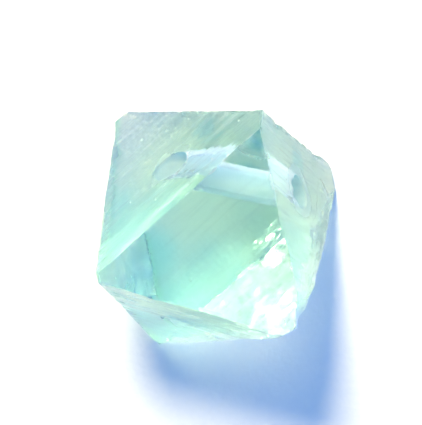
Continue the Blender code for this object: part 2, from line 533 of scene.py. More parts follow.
def closed_sheet(name, points, triangles, rim, rise):
    """A solid between a sheet and a flat lid at this rise above its rim.

    The sheet's triangles turn with the rise. They are reversed so that the solid's faces look out.
    """
    count = len(points)
    lid = points[rim] + rise
    crown = points.mean(axis=0) + rise
    solid = np.vstack((points, lid, crown))
    low = np.array(rim)
    low_next = np.roll(low, -1)
    high = count + np.arange(len(rim))
    high_next = np.roll(high, -1)
    tip = np.full(len(rim), count + len(rim))
    walls = np.vstack((np.column_stack((low, low_next, high_next)),
                       np.column_stack((low, high_next, high))))
    roof = np.column_stack((high, high_next, tip))
    return add_mesh(name, solid, np.vstack((triangles[:, ::-1], walls, roof)).tolist())


def three_sided(count):
    """An even three-sided lattice: its index pairs, its triangles and its rim, anticlockwise."""
    i, j = np.meshgrid(np.arange(count + 1), np.arange(count + 1), indexing="ij")
    inside = i + j <= count
    number = np.full(i.shape, -1)
    number[inside] = np.arange(inside.sum())
    a, b = np.nonzero(i + j < count)
    first = np.column_stack((number[a, b], number[a + 1, b], number[a, b + 1]))
    a, b = np.nonzero(i + j < count - 1)
    second = np.column_stack((number[a + 1, b], number[a + 1, b + 1], number[a, b + 1]))
    k = np.arange(count)
    rim = np.concatenate((number[k, 0], number[count - k, k], number[0, count - k]))
    return i[inside], j[inside], np.vstack((first, second)), rim


def face_relief(name):
    """p(i, j) = corner + i (second corner - corner) + j (third corner - corner), over their count.

    The three corners are where the face meets its neighbours, pushed out so that the sheet covers
    the rim. Each point is then moved along the normal by face_height.
    """
    one, two, three = BESIDE[name]
    corners = np.array([meeting((name, *pair)) for pair in ((one, two), (two, three), (one, three))])
    normal = face_normal(name)
    if np.cross(corners[1] - corners[0], corners[2] - corners[0]) @ normal < 0:
        corners = corners[[0, 2, 1]]
    centre = corners.mean(axis=0)
    side = np.linalg.norm(corners[1] - corners[0])
    inradius = side / (2 * math.sqrt(3))
    corners = centre + (corners - centre) * (1 + SHEET_MARGIN / inradius)
    count = int(np.linalg.norm(corners[1] - corners[0]) / LATTICE)
    i, j, triangles, rim = three_sided(count)
    points = (corners[0] + np.outer(i / count, corners[1] - corners[0])
              + np.outer(j / count, corners[2] - corners[0]))
    points = points + np.outer(face_height(name, points), normal)
    return closed_sheet(name.replace(" ", "_"), points, triangles, rim, normal * SHEET_LID)


def square_grid(count):
    """An even square grid from -1 to 1 both ways: its points, its triangles and its rim."""
    line = np.linspace(-1, 1, count + 1)
    u, v = np.meshgrid(line, line, indexing="ij")
    number = np.arange((count + 1) ** 2).reshape(count + 1, count + 1)
    a = number[:-1, :-1].ravel()
    b = number[1:, :-1].ravel()
    c = number[1:, 1:].ravel()
    d = number[:-1, 1:].ravel()
    triangles = np.vstack((np.column_stack((a, b, c)), np.column_stack((a, c, d))))
    rim = np.concatenate((number[:-1, 0], number[-1, :-1], number[:0:-1, -1], number[0, :0:-1]))
    return u.ravel(), v.ravel(), triangles, rim


def corner_break(number, corner, plan, rise, distance, reach):
    """A square sheet over a corner, rippled like broken glass.

    Its height is the sine of the distance from one side, fading with that distance, plus lumps.
    """
    normal = heading(plan, rise)
    tip = meeting(corner)
    centre = tip - normal * (normal @ tip - distance)
    across = unit(np.cross(normal, BREAK_TURN))
    up = np.cross(normal, across)
    u, v, triangles, rim = square_grid(int(2 * reach / LATTICE))
    u = u * reach
    v = v * reach
    spread = np.hypot(u - RIPPLE_START[0], v - RIPPLE_START[1])
    wave = np.sin(spread * RIPPLE_CLOSE + noise(u, v, 50 + number))
    ripple = RIPPLE_HEIGHT * wave * ease(1 - spread / RIPPLE_REACH)
    lumps = BREAK_LUMP_HEIGHT * layered(u / BREAK_LUMP_SIZE, v / BREAK_LUMP_SIZE, 60 + number)
    strength = 1.0 if number < RIPPLED_BREAKS else QUIET_BREAK
    height = strength * (ripple + lumps)
    points = centre + np.outer(u, across) + np.outer(v, up) + np.outer(height, normal)
    return closed_sheet(f"break_{number}", points, triangles, rim, normal * BREAK_LID)


def round_grid(around, along):
    """A closed tube's triangles: rings of points from pole to pole, the poles last."""
    ring = np.arange(around)
    row = np.arange(along - 1)[:, None] * around
    a = (row + ring).ravel()
    b = (row + (ring + 1) % around).ravel()
    body = np.vstack((np.column_stack((a, b, b + around)), np.column_stack((a, b + around, a + around))))
    low = np.full(around, around * along)
    high = low + 1
    last = around * (along - 1)
    foot = np.column_stack((low, (ring + 1) % around, ring))
    cap = np.column_stack((high, last + ring, last + (ring + 1) % around))
    return np.vstack((body, foot, cap))


def chip(name, place, radius, seed):
    """A ball whose size is radius (1 + the sine of the angle from one way, times waves, + noise)."""
    rise = np.linspace(-math.pi / 2, math.pi / 2, CHIP_ROWS + 2)[1:-1]
    turn = np.arange(CHIP_AROUND) * math.tau / CHIP_AROUND
    rise, turn = np.meshgrid(rise, turn, indexing="ij")
    out = np.stack((np.cos(rise) * np.cos(turn), np.cos(rise) * np.sin(turn), np.sin(rise)), -1)
    out = np.vstack((out.reshape(-1, 3), (0, 0, -1), (0, 0, 1)))
    aim = unit(np.random.default_rng(seed).normal(size=3))
    angle = np.arccos(np.clip(out @ aim, -1, 1))
    swell = noise(out[:, 0] * 3 + 9, out[:, 1] * 3 + out[:, 2] * 4, seed)
    size = radius * (1 + CHIP_WAVE * np.sin(angle * CHIP_WAVES) + CHIP_NOISE * swell)
    return add_mesh(name, place + out * size[:, None], round_grid(CHIP_AROUND, CHIP_ROWS).tolist())


def edge_chip(number, face, beside, at, radius, depth):
    """A chip at a place along an edge, this deep where it cuts the edge."""
    foot, along, _ = edge_frame(face, beside)
    outward = unit(face_normal(face) + face_normal(beside))
    return chip(f"edge_chip_{number}", foot + along * at + outward * (radius - depth), radius, 200 + number)


def corner_chip(number, place, radius):
    """A chip that a ball round this place fits."""
    return chip(f"corner_chip_{number}", np.array(place), radius, 250 + number)


def hole_frame():
    """The hole's way, and two ways square to it."""
    way = unit(HOLE_RIGHT - HOLE_LEFT)
    side = unit(np.cross(way, (0, 0, 1)))
    return way, side, np.cross(way, side)


def mouth_flake(number, turn, radius, depth):
    """A chip at the rim of the hole's right mouth, where a spoke at this turn meets the upper right face."""
    way, side, rise = hole_frame()
    normal = face_normal("upper right")
    turn = math.radians(turn)
    spoke = (side * math.cos(turn) + rise * math.sin(turn)) * HOLE_WIDTH / 2
    rim = HOLE_RIGHT + spoke - way * ((spoke @ normal) / (way @ normal))
    return chip(f"mouth_flake_{number}", rim + normal * (radius - depth), radius, 300 + number)


def drilling():
    """A rod on the hole's line, its radius a function of turn and length.

    The radius is half the hole's width, plus the rings, waves and grit marks that the drill leaves.
    """
    way, side, rise = hole_frame()
    turn = np.arange(DRILL_AROUND) * math.tau / DRILL_AROUND
    length = np.linspace(-DRILL_REACH, DRILL_REACH, DRILL_ALONG)
    length, turn = np.meshgrid(length, turn, indexing="ij")
    rings = (DRILL_RINGS[0] * noise(length / DRILL_RINGS[1], 0 * turn, 71)
             + DRILL_WAVES[0] * noise(length / DRILL_WAVES[1], 0 * turn, 72))
    round_place = turn * DRILL_AROUND / math.tau / DRILL_MARK_POINTS
    marks = DRILL_MARKS[0] * noise(length / DRILL_MARKS[1], round_place, 73)
    size = HOLE_WIDTH / 2 + rings + marks
    middle = (HOLE_LEFT + HOLE_RIGHT) / 2
    points = (middle + length[..., None] * way + (size * np.cos(turn))[..., None] * side
              + (size * np.sin(turn))[..., None] * rise).reshape(-1, 3)
    ends = middle + np.outer((-DRILL_REACH, DRILL_REACH), way)
    return add_mesh("drilling", np.vstack((points, ends)), round_grid(DRILL_AROUND, DRILL_ALONG).tolist())


def under_step(number, start, height, lean):
    """A slab cut from the underside, from beyond the lower right face to a steep wall.

    The wall's foot is start - turn x from the edge, x being the place along it, and the wall leans
    outwards as it goes up. The slab's height grows from nothing to its own, plus noise.
    """
    foot, along, inward = edge_frame("rest", "lower right")
    lean = math.tan(math.radians(lean))
    x = np.linspace(STEP_START, STEP_END, STEP_POINTS)
    far, size = STEP_WANDER
    y = start - STEP_TURN * x + far * layered(x / size, 0 * x, 410 + number)
    grown = below(x, STEP_GROWS, STEP_GROWTH)
    steady, swing, size = STEP_UNEVEN
    uneven = steady + swing * noise(x / size, 0 * x, 400 + number)
    rise = grown * height * uneven - (1 - grown) * STEP_SPARE / 3
    flat = np.zeros(len(x))
    across = np.stack((y + STEP_SPARE * lean, y - rise * lean, flat - STEP_REACH, flat - STEP_REACH), -1)
    up = np.stack((flat - STEP_SPARE, rise, rise, flat - STEP_SPARE), -1)
    points = (foot + x[:, None, None] * along + across[..., None] * inward
              - up[..., None] * face_normal("rest"))
    ends = points[[0, -1]].mean(axis=1)
    return add_mesh(f"under_step_{number}", np.vstack((points.reshape(-1, 3), ends)),
                    round_grid(4, len(x)).tolist())


def blank():
    """The eight planes' solid, a little too large on each side: its corners and their hull."""
    body = bmesh.new()
    bmesh.ops.create_cube(body, size=4 * EDGE)
    for name in FACES:
        normal = Vector(face_normal(name))
        everything = body.verts[:] + body.edges[:] + body.faces[:]
        bmesh.ops.bisect_plane(body, geom=everything, dist=1e-6,
                               plane_co=normal * (face_distance(name) + BLANK_SPARE),
                               plane_no=normal, clear_outer=True)
        bmesh.ops.holes_fill(body, edges=[edge for edge in body.edges if edge.is_boundary])
    bmesh.ops.triangulate(body, faces=body.faces[:])
    bmesh.ops.recalc_face_normals(body, faces=body.faces[:])
    points = np.array([vertex.co[:] for vertex in body.verts])
    for index, vertex in enumerate(body.verts):
        vertex.index = index
    faces = [[vertex.index for vertex in face.verts] for face in body.faces]
    body.free()
    return add_mesh("fluorite_crystal", points, faces)


def take_away(body, cutters):
    """Cuts each cutter out of the body, keeps the result as the body's own mesh, and drops the cutters."""
    for cutter in cutters:
        cut = body.modifiers.new(cutter.name, "BOOLEAN")
        cut.operation = "DIFFERENCE"
        cut.solver = "MANIFOLD"
        cut.object = cutter
    graph = bpy.context.evaluated_depsgraph_get()
    mesh = bpy.data.meshes.new_from_object(body.evaluated_get(graph))
    body.modifiers.clear()
    body.data = mesh
    for cutter in cutters:
        bpy.data.objects.remove(cutter)
    fine = bmesh.new()
    fine.from_mesh(mesh)
    bmesh.ops.dissolve_degenerate(fine, edges=fine.edges[:], dist=SLIVER * MM)
    bmesh.ops.triangulate(fine, faces=fine.faces[:])
    fine.to_mesh(mesh)
    fine.free()


# Marks on the skin. Frost makes it matt, bruises, haze and scores make it milky, and the other marks say
# where it is tinted. The lit mark says where the drilled wall gets painted light and where painted shade.

# How matt, how hazy and how scored each face is. The lower right face's frost and the upper front
# face's scores have functions of their own.
FACE_LOOK = {
    "top": (0.03, 0.35, 0.0),
    "rest": (0.08, 0.35, 0.0),
    "upper left": (0.16, 0.9, 0.12),
    "upper right": (0.14, 1.0, 0.10),
    "upper front": (0.10, 1.4, 0.0),
    "lower back": (0.10, 0.3, 0.0),
    "lower left": (0.30, 0.3, 0.0),
    "lower right": (0.0, 0.6, 0.0),
}

# Mottling: the size of its patches, how far it is shifted, the level and swing of its noise, its seed
FACE_MOTTLE = (1.1, 5, 0.5, 0.6, 81)
RIM_MOTTLE = (0.5, 0, 0.5, 0.6, 82)
BRUISE_MOTTLE = (0.45, 0, 0.25, 0.9, 83)

# A face's own frost: the part that stays and the part that is mottled
FROST_SHARES = (0.6, 0.8)

# At the rims: the strength of frost and of bruises, and how far in they fade
RIM_FROST = (0.22, 0.12)
RIM_BRUISE = (0.28, 0.10)

# Round the mouths, and on the top face over the hole: how far from the hole's line the mark reaches,
# over which width it fades, and its strengths
LEFT_MOUTH = (2.2, 1.2)
RIGHT_MOUTH = (1.9, 0.7)
OVER_HOLE = (1.7, 0.7)
LEFT_MOUTH_FROST = 0.10
RIGHT_MOUTH_FROST = 0.25
RIGHT_MOUTH_BRUISE = 0.12
OVER_HOLE_FROST = 0.16

# The drilled wall: how far past its radius it counts and how softly, and the same for the depth at
# which it starts
BORE_SPARE = (0.10, 0.05)
BORE_MOUTH = (0.06, 0.1)

# Painted light and shade on the drilled wall: its lit side gets a painted light colour, its other side a
# painted shade colour and tint, and the bruise on each side carries these colours
# The wall's lit side: the way it lies from the hole's line, and the level and swing of the light
LIT_WAY = (90, 22)
LIT_RANGE = (-0.05, 1.15)

# Frost of the lit side and how much more there is on the other; bruise of the lit side; and of the
# other, with what the middle stretch adds, where that starts and ends, and how softly
BORE_FROST = (0.45, 0.35)
BORE_LIT_BRUISE = 0.5
BORE_SHADED_SIDE_BRUISE = (0.15, 0.5)
BORE_MIDDLE = ((1.6, 0.8), (6.9, 0.8))

# The lower left face's end at the left corner: how far along the edge it reaches and how softly, and
# its frost and bruise
LEFT_END = (2.6, 2.5)
LEFT_END_FROST = 0.25
LEFT_END_BRUISE = 0.34

# The teal strip along the edge between the lower left face and the resting face: its fullness on the
# edge, past 1 where it stays full for a while, and the distance over which it falls by 1
TEAL = (1.25, 0.55)

# The torn cover of the lower right face: its fullness at the upper front face, the distance over which
# that falls by 1, and the strength and size of its noise
COVER = (1.7, 5.0, 0.35, 0.9)

# The cover's clear lumps: their level, the strength and size of their noise, and how much fewer there
# are beside the resting face, up to a width
LUMP_LEVEL = -0.42
LUMP_NOISE = (1.15, 0.55, 0.45)
LUMP_FOOT = (0.5, 0.6)
LUMP_RANGE = (0.15, 0.8)

# Where the lumps are clearest, and with a strength below 0 where there are fewer: places along the
# rest edge and up the face, sizes and strengths
LUMPS = [
    (-2.9, 1.5, 0.8, 0.9, 1.1),
    (-1.0, 3.7, 1.0, 1.2, 1.0),
    (1.1, 1.6, 0.7, 1.3, 1.0),
    (2.2, 1.0, 0.5, 0.8, 0.8),
    (-0.1, 7.7, 1.8, 2.2, 1.8),
    (-0.4, 2.3, 0.8, 0.8, -0.7),
    (1.1, 4.6, 0.9, 0.8, -0.5),
    (-1.5, 0.0, 0.9, 1.6, -1.2),
]

# Frost off the cover, what the cover adds, and what a lump takes from that; the same for bruises,
# which there are none of off the cover
TORN_FROST = (0.08, 0.80, 0.34)
TORN_BRUISE = (0.60, 0.50)

# Bruise of the broken front corner: its strength, its fullness at the tip, the distance over which
# that falls by 1, and the strength and size of its noise
TIP_BRUISE = (0.55, 1.15, 2.6, 0.5, 0.5)

# What lies deeper than the worn surface is broken: how deep that starts and how softly, its frost and
# its bruise
BROKEN = (0.10, 0.15)
BROKEN_FROST = 0.3
BROKEN_BRUISE = 0.22

# The steps' walls and treads: limits and softness of y from the edge, of x along it, and of the depth
# under the resting face, and their frost
STEPPED_Y = ((0.05, 0.1), (2.0, 0.2))
STEPPED_X = (0.3, 0.3)
STEPPED_DEPTH = ((0.05, 0.05), (0.9, 0.1))
STEPPED_FROST = 0.25

# The upper right face's rim along the lower right face: its width, and what it takes from the haze
CLEAR_RIM = 2.5
CLEAR_RIM_HAZE = 0.8

# The upper front face: from which y it gets clearer, over which width and by how much; the strength of
# its scores, of those in a scored patch, and the limits and softness of that patch along x and y
LOW_FRONT = (2.5, 3)
LOW_FRONT_CLEAR = 0.85
FRONT_SCORES = 0.15
PATCH_SCORES = 0.6
PATCH_X = ((-1.0, 1.0), (4.6, 1.0))
PATCH_Y = ((0.5, 0.6), (4.2, 1.0))


def away_plan(points):
    """Each point's distance from the hole's line, seen from above."""
    way = unit((HOLE_RIGHT - HOLE_LEFT)[:2])
    offset = points[:, :2] - HOLE_LEFT[:2]
    return np.abs(offset[:, 0] * way[1] - offset[:, 1] * way[0])


def away_line(points, place, way):
    """Each point's distance from a line: the length of (point - place) x way."""
    return np.linalg.norm(np.cross(points - place, way), axis=1)


class Skin:
    """The crystal's points, and what their marks are worked out from.

    A point's facet is the face whose plane is nearest, sunk is its depth under that plane, and its
    distance from the rim is its depth under the second nearest. For the hole, away is the distance
    from its line, length the place along it, and spoke the way out from it, 1 long on the wall.
    """

    def __init__(self, points):
        self.points = points
        self.depths = face_depths(points)
        self.facet = self.depths.argmin(axis=1)
        self.sunk = self.depths.min(axis=1)
        self.rim = np.sort(self.depths, axis=1)[:, 1]
        way, _, _ = hole_frame()
        self.away = away_line(points, HOLE_LEFT, way)
        self.length = (points - HOLE_LEFT) @ way
        self.spoke = np.cross(way, np.cross(points - HOLE_LEFT, way)) / (HOLE_WIDTH / 2)

    def on(self, *names):
        """True where the point's face is one of these."""
        return np.isin(self.facet, [FACE_ORDER.index(name) for name in names])

    def under(self, name):
        """Each point's depth under this face."""
        return self.depths[:, FACE_ORDER.index(name)]

    def looks(self):
        """The frost, haze and scores that each point's face has of its own."""
        return np.array([FACE_LOOK[name] for name in FACES])[self.facet].T


def mottle(points, look):
    """Soft patches from 0 to 1: the ease of level + swing . noise over the plan, shifted with height."""
    size, shift, level, swing, seed = look
    return ease(level + swing * noise(points[:, 0] / size + shift, points[:, 1] / size + points[:, 2], seed))


def lay(part, first, second):
    """The first value where part is 0, going over to the second where it is 1."""
    return first * (1 - part) + second * part


def bore_part(skin):
    """1 on the drilled wall: near enough to the hole's line, and deep enough under every face."""
    spare, soft = BORE_SPARE
    return below(skin.away, HOLE_WIDTH / 2 + spare, soft) * above(skin.sunk, *BORE_MOUTH)


# Painted light and shade: this mask, set from a fixed way rather than from the lamp, says which side of the
# drilled wall is painted light and which painted shade
def lit_part(skin):
    """1 on the wall's lit side and 0 on the other: the ease of level + swing . how far it lies that way."""
    level, swing = LIT_RANGE
    return ease(level + swing * (skin.spoke @ heading(*LIT_WAY)))


def left_end_part(skin):
    """1 on the lower left face's end at the left corner, easing to 0 along its edge."""
    x, _ = on_face("lower left", "rest", skin.points)
    return skin.on("lower left") * below(x, *LEFT_END)


def teal_part(skin):
    """The teal strip: the ease of full - distance from its edge / fall, on the two faces beside it."""
    foot, along, _ = edge_frame("lower left", "rest")
    full, fall = TEAL
    return ease(full - away_line(skin.points, foot, along) / fall) * skin.on("rest", "lower left")


def stepped_part(skin):
    """1 on the steps of the underside: the product of what their limits in x, y and depth give."""
    x, y = on_face("rest", "lower right", skin.points)
    return between(y, *STEPPED_Y) * below(x, *STEPPED_X) * between(skin.under("rest"), *STEPPED_DEPTH)


def right_mouth_part(skin):
    """1 on the upper right face close round the hole's mouth, easing to 0 with the distance from its line."""
    return skin.on("upper right") * below(skin.away, *RIGHT_MOUTH)


def stone_frost(skin, own, left_end):
    """Each face's own frost, mottled, plus more at the rims, at the mouths, over the hole and at the left."""
    steady, mottled = FROST_SHARES
    frost = own * (steady + mottled * mottle(skin.points, FACE_MOTTLE))
    strength, width = RIM_FROST
    seen = np.where(skin.on(*HIDDEN), 0, strength)
    frost = frost + seen * np.exp(-skin.rim / width) * mottle(skin.points, RIM_MOTTLE)
    frost = frost + LEFT_MOUTH_FROST * skin.on("upper left") * below(skin.away, *LEFT_MOUTH)
    frost = frost + RIGHT_MOUTH_FROST * right_mouth_part(skin)
    frost = frost + OVER_HOLE_FROST * (skin.on("top") * below(away_plan(skin.points), *OVER_HOLE))
    return frost + LEFT_END_FROST * left_end


def stone_bruise(skin, left_end):
    """Mottled bruises, fading away from the rims, and on hidden faces only those of the left end."""
    strength, width = RIM_BRUISE
    bruise = strength * np.exp(-skin.rim / width) * mottle(skin.points, BRUISE_MOTTLE)
    return np.where(skin.on(*HIDDEN), LEFT_END_BRUISE * left_end, bruise)


def torn_marks(skin):
    """Frost and bruise of the lower right face: those of a torn cover, less on its clear lumps.

    The cover fades away from the upper front face. The lumps are layered noise, plus a bell for each
    of LUMPS: its strength times e to the minus squares of x and y from its place, over its sizes.
    """
    x, y = on_face("lower right", "rest", skin.points)
    full, fall, strength, size = COVER
    cover = full - skin.under("upper front") / fall + strength * layered(x / size, y / size, 84)
    cover = ease(cover)
    strength, wide, high = LUMP_NOISE
    fewer, width = LUMP_FOOT
    lumps = LUMP_LEVEL + strength * layered(x / wide, y / high, 97, 4) - fewer * below(y, width, width)
    for place_x, place_y, wide, high, strength in LUMPS:
        lumps = lumps + strength * np.exp(-((x - place_x) / wide) ** 2 - ((y - place_y) / high) ** 2)
    level, swing = LUMP_RANGE
    lumps = ease(level + swing * lumps)
    least, more, less = TORN_FROST
    frost = least + cover * (more - less * lumps)
    more, less = TORN_BRUISE
    return frost, cover * (more - less * lumps)


def tip_bruise(skin):
    """Bruise of the broken corner: the ease of full - distance from its tip / fall + noise."""
    strength, full, fall, swing, size = TIP_BRUISE
    away = np.linalg.norm(skin.points - meeting(FRONT_CORNER), axis=1)
    across, up, _ = skin.points.T / size
    return strength * ease(full - away / fall + swing * layered(across, up, 95, 2))


# The drilled wall's bruise shows its painted light colour on the lit side and its painted shade colour on the
# other
def bore_bruise(skin, lit):
    """Bruise of the drilled wall: the lit side's, going over to the other's, which its middle adds to."""
    least, more = BORE_SHADED_SIDE_BRUISE
    shaded_side = least + more * between(skin.length, *BORE_MIDDLE)
    return BORE_LIT_BRUISE * lit + shaded_side * (1 - lit)


def frost_and_bruise(skin, own, bore, lit, left_end):
    """The stone's frost and bruise, with those of the torn face, the breaks, the drilling and the steps."""
    torn = skin.on("lower right")
    torn_frost, torn_bruise = torn_marks(skin)
    frost = np.where(torn, torn_frost, stone_frost(skin, own, left_end))
    bruise = np.where(torn, torn_bruise, stone_bruise(skin, left_end))
    least, more = BORE_FROST
    frost = lay(bore, frost, least + more * (1 - lit))
    broken = above(skin.sunk, *BROKEN) * (1 - bore) * (1 - torn)
    frost = frost + BROKEN_FROST * broken
    bruise = bruise + tip_bruise(skin) + BROKEN_BRUISE * broken
    # On the drilled wall the bruise carries its painted light and painted shade
    bruise = lay(bore, bruise + RIGHT_MOUTH_BRUISE * right_mouth_part(skin), bore_bruise(skin, lit))
    stepped = stepped_part(skin)
    return lay(stepped, frost, STEPPED_FROST), bruise * (1 - stepped)


def haze_and_scores(skin, haze, scores, bore):
    """Each face's own haze and scores, none in the drilling, fewer on one rim and on the low front.

    The upper front face's scores are its own, plus those of a patch between limits in x and y.
    """
    clear_rim = skin.on("upper right") * below(skin.under("lower right"), CLEAR_RIM, CLEAR_RIM)
    front = skin.on("upper front")
    x, y = on_face("upper front", "top", skin.points)
    low_front = 1 - LOW_FRONT_CLEAR * above(y, *LOW_FRONT)
    patch = between(x, *PATCH_X) * between(y, *PATCH_Y)
    haze = haze * (1 - bore) * (1 - CLEAR_RIM_HAZE * clear_rim) * np.where(front, low_front, 1)
    scores = scores * (1 - bore) * (1 - clear_rim)
    return haze, np.where(front, PATCH_SCORES * patch + FRONT_SCORES * low_front, scores)


def map_grain(mesh, points):
    """Writes each face's own map in millimetres: across, the way its streaks run; up, square to them."""
    corners = np.empty(len(mesh.loops), dtype=np.int32)
    mesh.loops.foreach_get("vertex_index", corners)
    corners = corners.reshape(-1, 3)
    facet = face_depths(points[corners].mean(axis=1)).argmin(axis=1)
    places = np.empty((len(corners), 3, 2), dtype=np.float32)
    for number, name in enumerate(FACES):
        own = facet == number
        x, y = on_face(name, GRAIN[name][0], points[corners[own]])
        places[own, :, 0] = x + GRAIN_SHIFT * number
        places[own, :, 1] = y
    layer = mesh.uv_layers.new(name="grain")
    layer.data.foreach_set("uv", places.ravel())


def mark_surface(body):
    """Writes the marks of each point as attributes, and each face's map of its streaks."""
    mesh = body.data
    points = np.empty(len(mesh.vertices) * 3, dtype=np.float32)
    mesh.vertices.foreach_get("co", points)
    points = points.reshape(-1, 3) / MM - MIDDLE
    skin = Skin(points)
    frost, haze, scores = skin.looks()
    bore = bore_part(skin)
    lit = lit_part(skin)
    left_end = left_end_part(skin)
    frost, bruise = frost_and_bruise(skin, frost, bore, lit, left_end)
    haze, scores = haze_and_scores(skin, haze, scores, bore)
    marks = {"frost": np.clip(frost, 0, 1), "bruise": np.clip(bruise, 0, 1), "haze": haze, "scores": scores,
             "bore": bore, "lit": lit, "left_end": left_end, "teal": teal_part(skin)}
    for name, values in marks.items():
        layer = mesh.attributes.new(name, "FLOAT", "POINT")
        layer.data.foreach_set("value", values.astype(np.float32))
    map_grain(mesh, points)


def crystal():
    """The finished stone: the blank less its faces' reliefs, breaks, chips, flakes, steps and drilling."""
    body = blank()
    cutters = [face_relief(name) for name in FACES]
    for cut, rows in ((corner_break, BREAKS), (edge_chip, EDGE_CHIPS), (corner_chip, CORNER_CHIPS),
                      (mouth_flake, MOUTH_FLAKES), (under_step, UNDER_STEPS)):
        cutters += [cut(number, *row) for number, row in enumerate(rows)]
    cutters.append(drilling())
    take_away(body, cutters)
    mark_surface(body)
    body.data.shade_smooth()
    body.data.set_sharp_from_angle(angle=math.radians(SMOOTH_TURN))
    return body


class Value:
    """An output of a node. Sums, differences and products of it add Math nodes."""

    def __init__(self, sheet, socket):
        self.sheet = sheet
        self.socket = socket

    def maths(self, operation, first, second):
        return self.sheet.node("ShaderNodeMath", {"operation": operation}, {0: first, 1: second})

    def __add__(self, other):
        return self.maths("ADD", self, other)

    __radd__ = __add__

    def __sub__(self, other):
        return self.maths("SUBTRACT", self, other)

    def __rsub__(self, other):
        return self.maths("SUBTRACT", other, self)

    def __mul__(self, other):
        return self.maths("MULTIPLY", self, other)

    __rmul__ = __mul__


class Sheet:
    """The nodes of a material or of the surroundings."""

    def __init__(self, owner):
        owner.use_nodes = True
        self.owner = owner
        self.tree = owner.node_tree

    def node(self, kind, settings=None, values=None, output=0):
        """Adds a node, makes its settings, then sets or links its sockets. Gives one of its outputs."""
        made = self.tree.nodes.new(kind)
        for key, setting in (settings or {}).items():
            setattr(made, key, setting)
        for key, value in (values or {}).items():
            self.feed(made.inputs[key], value)
        return Value(self, made.outputs[output])

    def feed(self, socket, value):
        if isinstance(value, Value):
            self.tree.links.new(value.socket, socket)
        else:
            socket.default_value = value

    def fill(self, name, **values):
        """Sets or links the sockets of a node that is there already, with underscores for their spaces."""
        for key, value in values.items():
            self.feed(self.tree.nodes[name].inputs[key.replace("_", " ")], value)

    def shown(self, name):
        """The first output of a node that is there already."""
        return Value(self, self.tree.nodes[name].outputs[0])

    def mark(self, name):
        """The mark of this name on the skin."""
        return self.node("ShaderNodeAttribute", {"attribute_name": name}, output="Fac")

    def blend(self, part, first, second):
        """The first colour where part is 0, going over to the second where it is 1."""
        return self.node("ShaderNodeMix", {"data_type": "RGBA"}, {0: part, 6: first, 7: second}, output=2)

    def ramp(self, value, low, high, first, last, bend="LINEAR"):
        """The first number up to low, going over to the last at high."""
        return self.node("ShaderNodeMapRange", {"interpolation_type": bend},
                         {"Value": value, "From Min": low, "From Max": high, "To Min": first, "To Max": last},
                         output="Result")

    def near(self, place, centre, core, reach):
        """1 within core of the centre, falling smoothly to 0 at reach, all in millimetres."""
        values = {0: place, 1: [length * MM for length in centre]}
        away = self.node("ShaderNodeVectorMath", {"operation": "DISTANCE"}, values, output="Value")
        return self.ramp(away, core * MM, reach * MM, 1.0, 0.0, "SMOOTHSTEP")

    def speckle(self, place, close, detail):
        """Noise in space, its grains so many to the metre."""
        return self.node("ShaderNodeTexNoise", values={"Vector": place, "Scale": close, "Detail": detail})

    def streaks(self, grain, close, detail, rough, turn=0.0):
        """Noise on a face's own map, drawn out along its streaks, and turned from them."""
        values = {"Vector": grain, "Rotation": (0, 0, math.radians(turn)), "Scale": close}
        spread = self.node("ShaderNodeMapping", values=values)
        values = {"Vector": spread, "Scale": 1.0, "Detail": detail, "Roughness": rough}
        return self.node("ShaderNodeTexNoise", values=values)

    def bump(self, height, distance):
        """The normal of a surface with this height, 1 being this distance."""
        return self.node("ShaderNodeBump", values={"Height": height, "Distance": distance, "Strength": 1.0},
                         output="Normal")


# The stone: its index of refraction, the colour and strength, per metre, of its absorption, and how
# rough its bruises are
STONE_IOR = 1.434
STONE_COLOUR = (0.45, 0.97, 0.80, 1)
STONE_DENSITY = 42.0
BRUISE_ROUGHNESS = 0.6

# Streaks: how close they lie along and across, their detail and roughness, and how far they turn
FINE = ((0.30, 4.5, 1), 3.0, 0.6)
MILK = ((0.16, 1.9, 1), 4.0, 0.65)
SCORES = ((0.28, 4.6, 1), 3.0, 0.55, 8)

# Between which heights of their noise milk and scores change, and from which strength to which. A speck
# changes with the distance from its middle instead, 1 being that between two specks.
MILK_RANGE = (0.50, 0.78, 0.0, 0.22)
SCORE_RANGE = (0.58, 0.66, 0.0, 1.0)
SPECK_RANGE = (0.025, 0.052, 0.8, 0.0)
SPECK_CLOSE = 700.0

# Grit: its closeness and detail, and the heights in millimetres of it and of the fine streaks
GRIT = (9000.0, 2.0)
GRIT_HEIGHT = 0.012
FINE_HEIGHT = 0.010

# Frost's roughness: the part that stays and the part that follows the fine streaks
ROUGH_SHARES = (0.7, 0.6)

# Tint of light that passes the skin
CLEAR_TINT = (1.0, 1.0, 0.97, 1)
LEFT_END_TINT = (0.86, 1.0, 0.78, 1)
TEAL_TINT = (0.66, 0.95, 0.80, 1)
# Painted shade: the drilled wall's shaded side is tinted darker; its lit side is left untinted
BORE_PAINTED_SHADE_TINT = (0.80, 0.86, 0.95, 1)
BORE_LIT_TINT = (1.0, 1.0, 1.0, 1)

# Tinted places of the resting face: the middle of each, measured in the frame, how far out it is full,
# where it ends, and its tint
TINTED = {
    "heart": ((0.4, 1.4, 0.0), 1.5, 4.8, (1.0, 0.99, 0.85, 1)),
    "deep": ((4.1, -0.4, 0.0), 1.5, 4.2, (0.70, 0.79, 0.74, 1)),
    "pool": ((0.3, -3.3, 0.0), 1.0, 3.5, (0.65, 0.84, 0.87, 1)),
    "shore": ((-2.2, -5.2, 0.0), 1.0, 3.4, (0.66, 0.92, 0.95, 1)),
    # Painted shade: darkens the stone where the ground seen through it lies in shadow
    "shade": ((2.1, 2.9, 0.0), 0.5, 1.1, (0.60, 0.85, 0.86, 1)),
    "cove": ((-3.9, -2.0, 0.0), 0.8, 2.5, (0.68, 0.97, 0.97, 1)),
}

